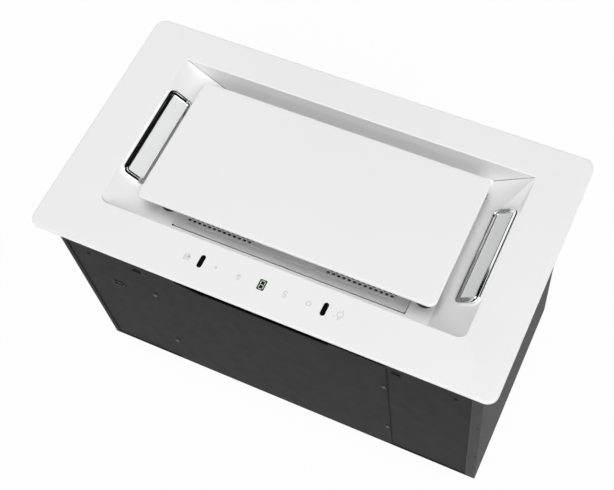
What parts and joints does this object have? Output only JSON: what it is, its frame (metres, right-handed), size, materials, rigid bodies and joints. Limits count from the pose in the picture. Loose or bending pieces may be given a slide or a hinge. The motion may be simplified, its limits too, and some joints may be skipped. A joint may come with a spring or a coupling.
{
  "type": "downdraft vent",
  "caption": "Built-in kitchen extractor lying face up: white pressed face with a hinged flush panel over a perimeter air slot, chrome-framed lamps, touch controls and a dark sheet casing.",
  "frame": {"origin": "centre of the face plate, in the plane of its lip's underside, which rests on the cut-out's edge", "axes": "+X along the width to the right seen from the control side; -Y towards the control side; +Z out of the face, with the casing and outlet below"},
  "size_m": [0.52, 0.2914, 0.3444],
  "materials": {
    "white_paint": "smooth satin powder coat",
    "charcoal_paint": "fine matt powder coat",
    "chrome": "polished",
    "opal": "translucent white, satin",
    "lamp_tray": "matt white",
    "aluminium": "brushed, anodised",
    "aluminium_mesh": "layered expanded mesh",
    "zinc_steel": "zinc plated",
    "bright_steel": "ground",
    "stainless_wire": "drawn wire",
    "black_plastic": "matt moulded",
    "window_plastic": "gloss smoked",
    "digit_plastic": "pale green, lit",
    "grey_plastic": "moulded",
    "circuit_board": "solder mask",
    "foam": "closed-cell foam",
    "copper_iron": "wound core",
    "dark_screw": "black zinc plated"
  },
  "bodies": {
    "casing": {"face_plate": "white_paint", "face_gasket": "foam", "panel_catches": "black_plastic", "hinge_brackets": "zinc_steel", "hinge_pins": "bright_steel", "filter_seat": "zinc_steel", "filter_clips": "zinc_steel", "lamp_bezel_left": "chrome", "lamp_bezel_right": "chrome", "lamp_lens_left": "opal", "lamp_lens_right": "opal", "lamp_body_left": "lamp_tray", "lamp_body_right": "lamp_tray", "led_board_left": "circuit_board", "led_board_right": "circuit_board", "sensor_window_left": "window_plastic", "sensor_window_right": "window_plastic", "display_window": "window_plastic", "display_segments": "digit_plastic", "touch_board": "circuit_board", "control_tray": "black_plastic", "casing_left": "charcoal_paint", "casing_right": "charcoal_paint", "casing_back": "charcoal_paint", "front_panel_left": "charcoal_paint", "front_panel_right": "charcoal_paint", "front_cover": "charcoal_paint", "cover_hooks": "charcoal_paint", "cover_screws": "dark_screw", "spring_nut": "black_plastic", "base_plate": "charcoal_paint", "scroll_left": "black_plastic", "scroll_right": "black_plastic", "inlet_ring_left": "zinc_steel", "inlet_ring_right": "zinc_steel", "motor_stator": "copper_iron", "motor_can": "zinc_steel", "motor_bearings": "bright_steel", "motor_bracket": "zinc_steel", "outlet_collar": "black_plastic", "collar_screws": "bright_steel", "flap_pin": "bright_steel", "terminal_box": "grey_plastic", "terminal_lid": "grey_plastic", "capacitor": "lamp_tray", "power_board_box": "black_plastic", "cable_gland": "black_plastic"},
    "panel": {"centre_panel": "white_paint", "panel_arms": "zinc_steel", "panel_studs": "zinc_steel"},
    "filter": {"filter_frame": "aluminium", "filter_screen": "aluminium", "filter_core": "aluminium_mesh", "handle_lugs": "zinc_steel"},
    "filter_handle": {"filter_handle": "stainless_wire"},
    "impeller": {"impeller": "grey_plastic", "motor_shaft": "bright_steel", "motor_rotor": "bright_steel"},
    "flap_front": {"flap_front": "grey_plastic"},
    "flap_rear": {"flap_rear": "grey_plastic"}
  },
  "joints": [
    {"name": "panel_hinge", "type": "hinge", "parent": "casing", "child": "panel", "pos_m": [0, 0.075, -0.017], "axis": [-1, 0, 0], "range_deg": [0, 80]},
    {"name": "filter_lift", "type": "slide", "parent": "casing", "child": "filter", "axis": [0, 0, 1], "range_m": [0, 0.02]},
    {"name": "handle_hinge", "type": "hinge", "parent": "filter", "child": "filter_handle", "pos_m": [0, -0.04, -0.0308], "axis": [1, 0, 0], "range_deg": [0, 90]},
    {"name": "impeller_spin", "type": "hinge", "parent": "casing", "child": "impeller", "pos_m": [0, 0.01, -0.142], "axis": [1, 0, 0], "continuous": true},
    {"name": "flap_front_hinge", "type": "hinge", "parent": "casing", "child": "flap_front", "pos_m": [0, -0.03, -0.3011], "axis": [1, 0, 0], "range_deg": [0, 70], "stiffness_Nm_per_rad": 0.01, "springref_deg": -34.38},
    {"name": "flap_rear_hinge", "type": "hinge", "parent": "casing", "child": "flap_rear", "pos_m": [0, -0.03, -0.3011], "axis": [-1, 0, 0], "range_deg": [0, 70], "stiffness_Nm_per_rad": 0.01, "springref_deg": -34.38}
  ]
}
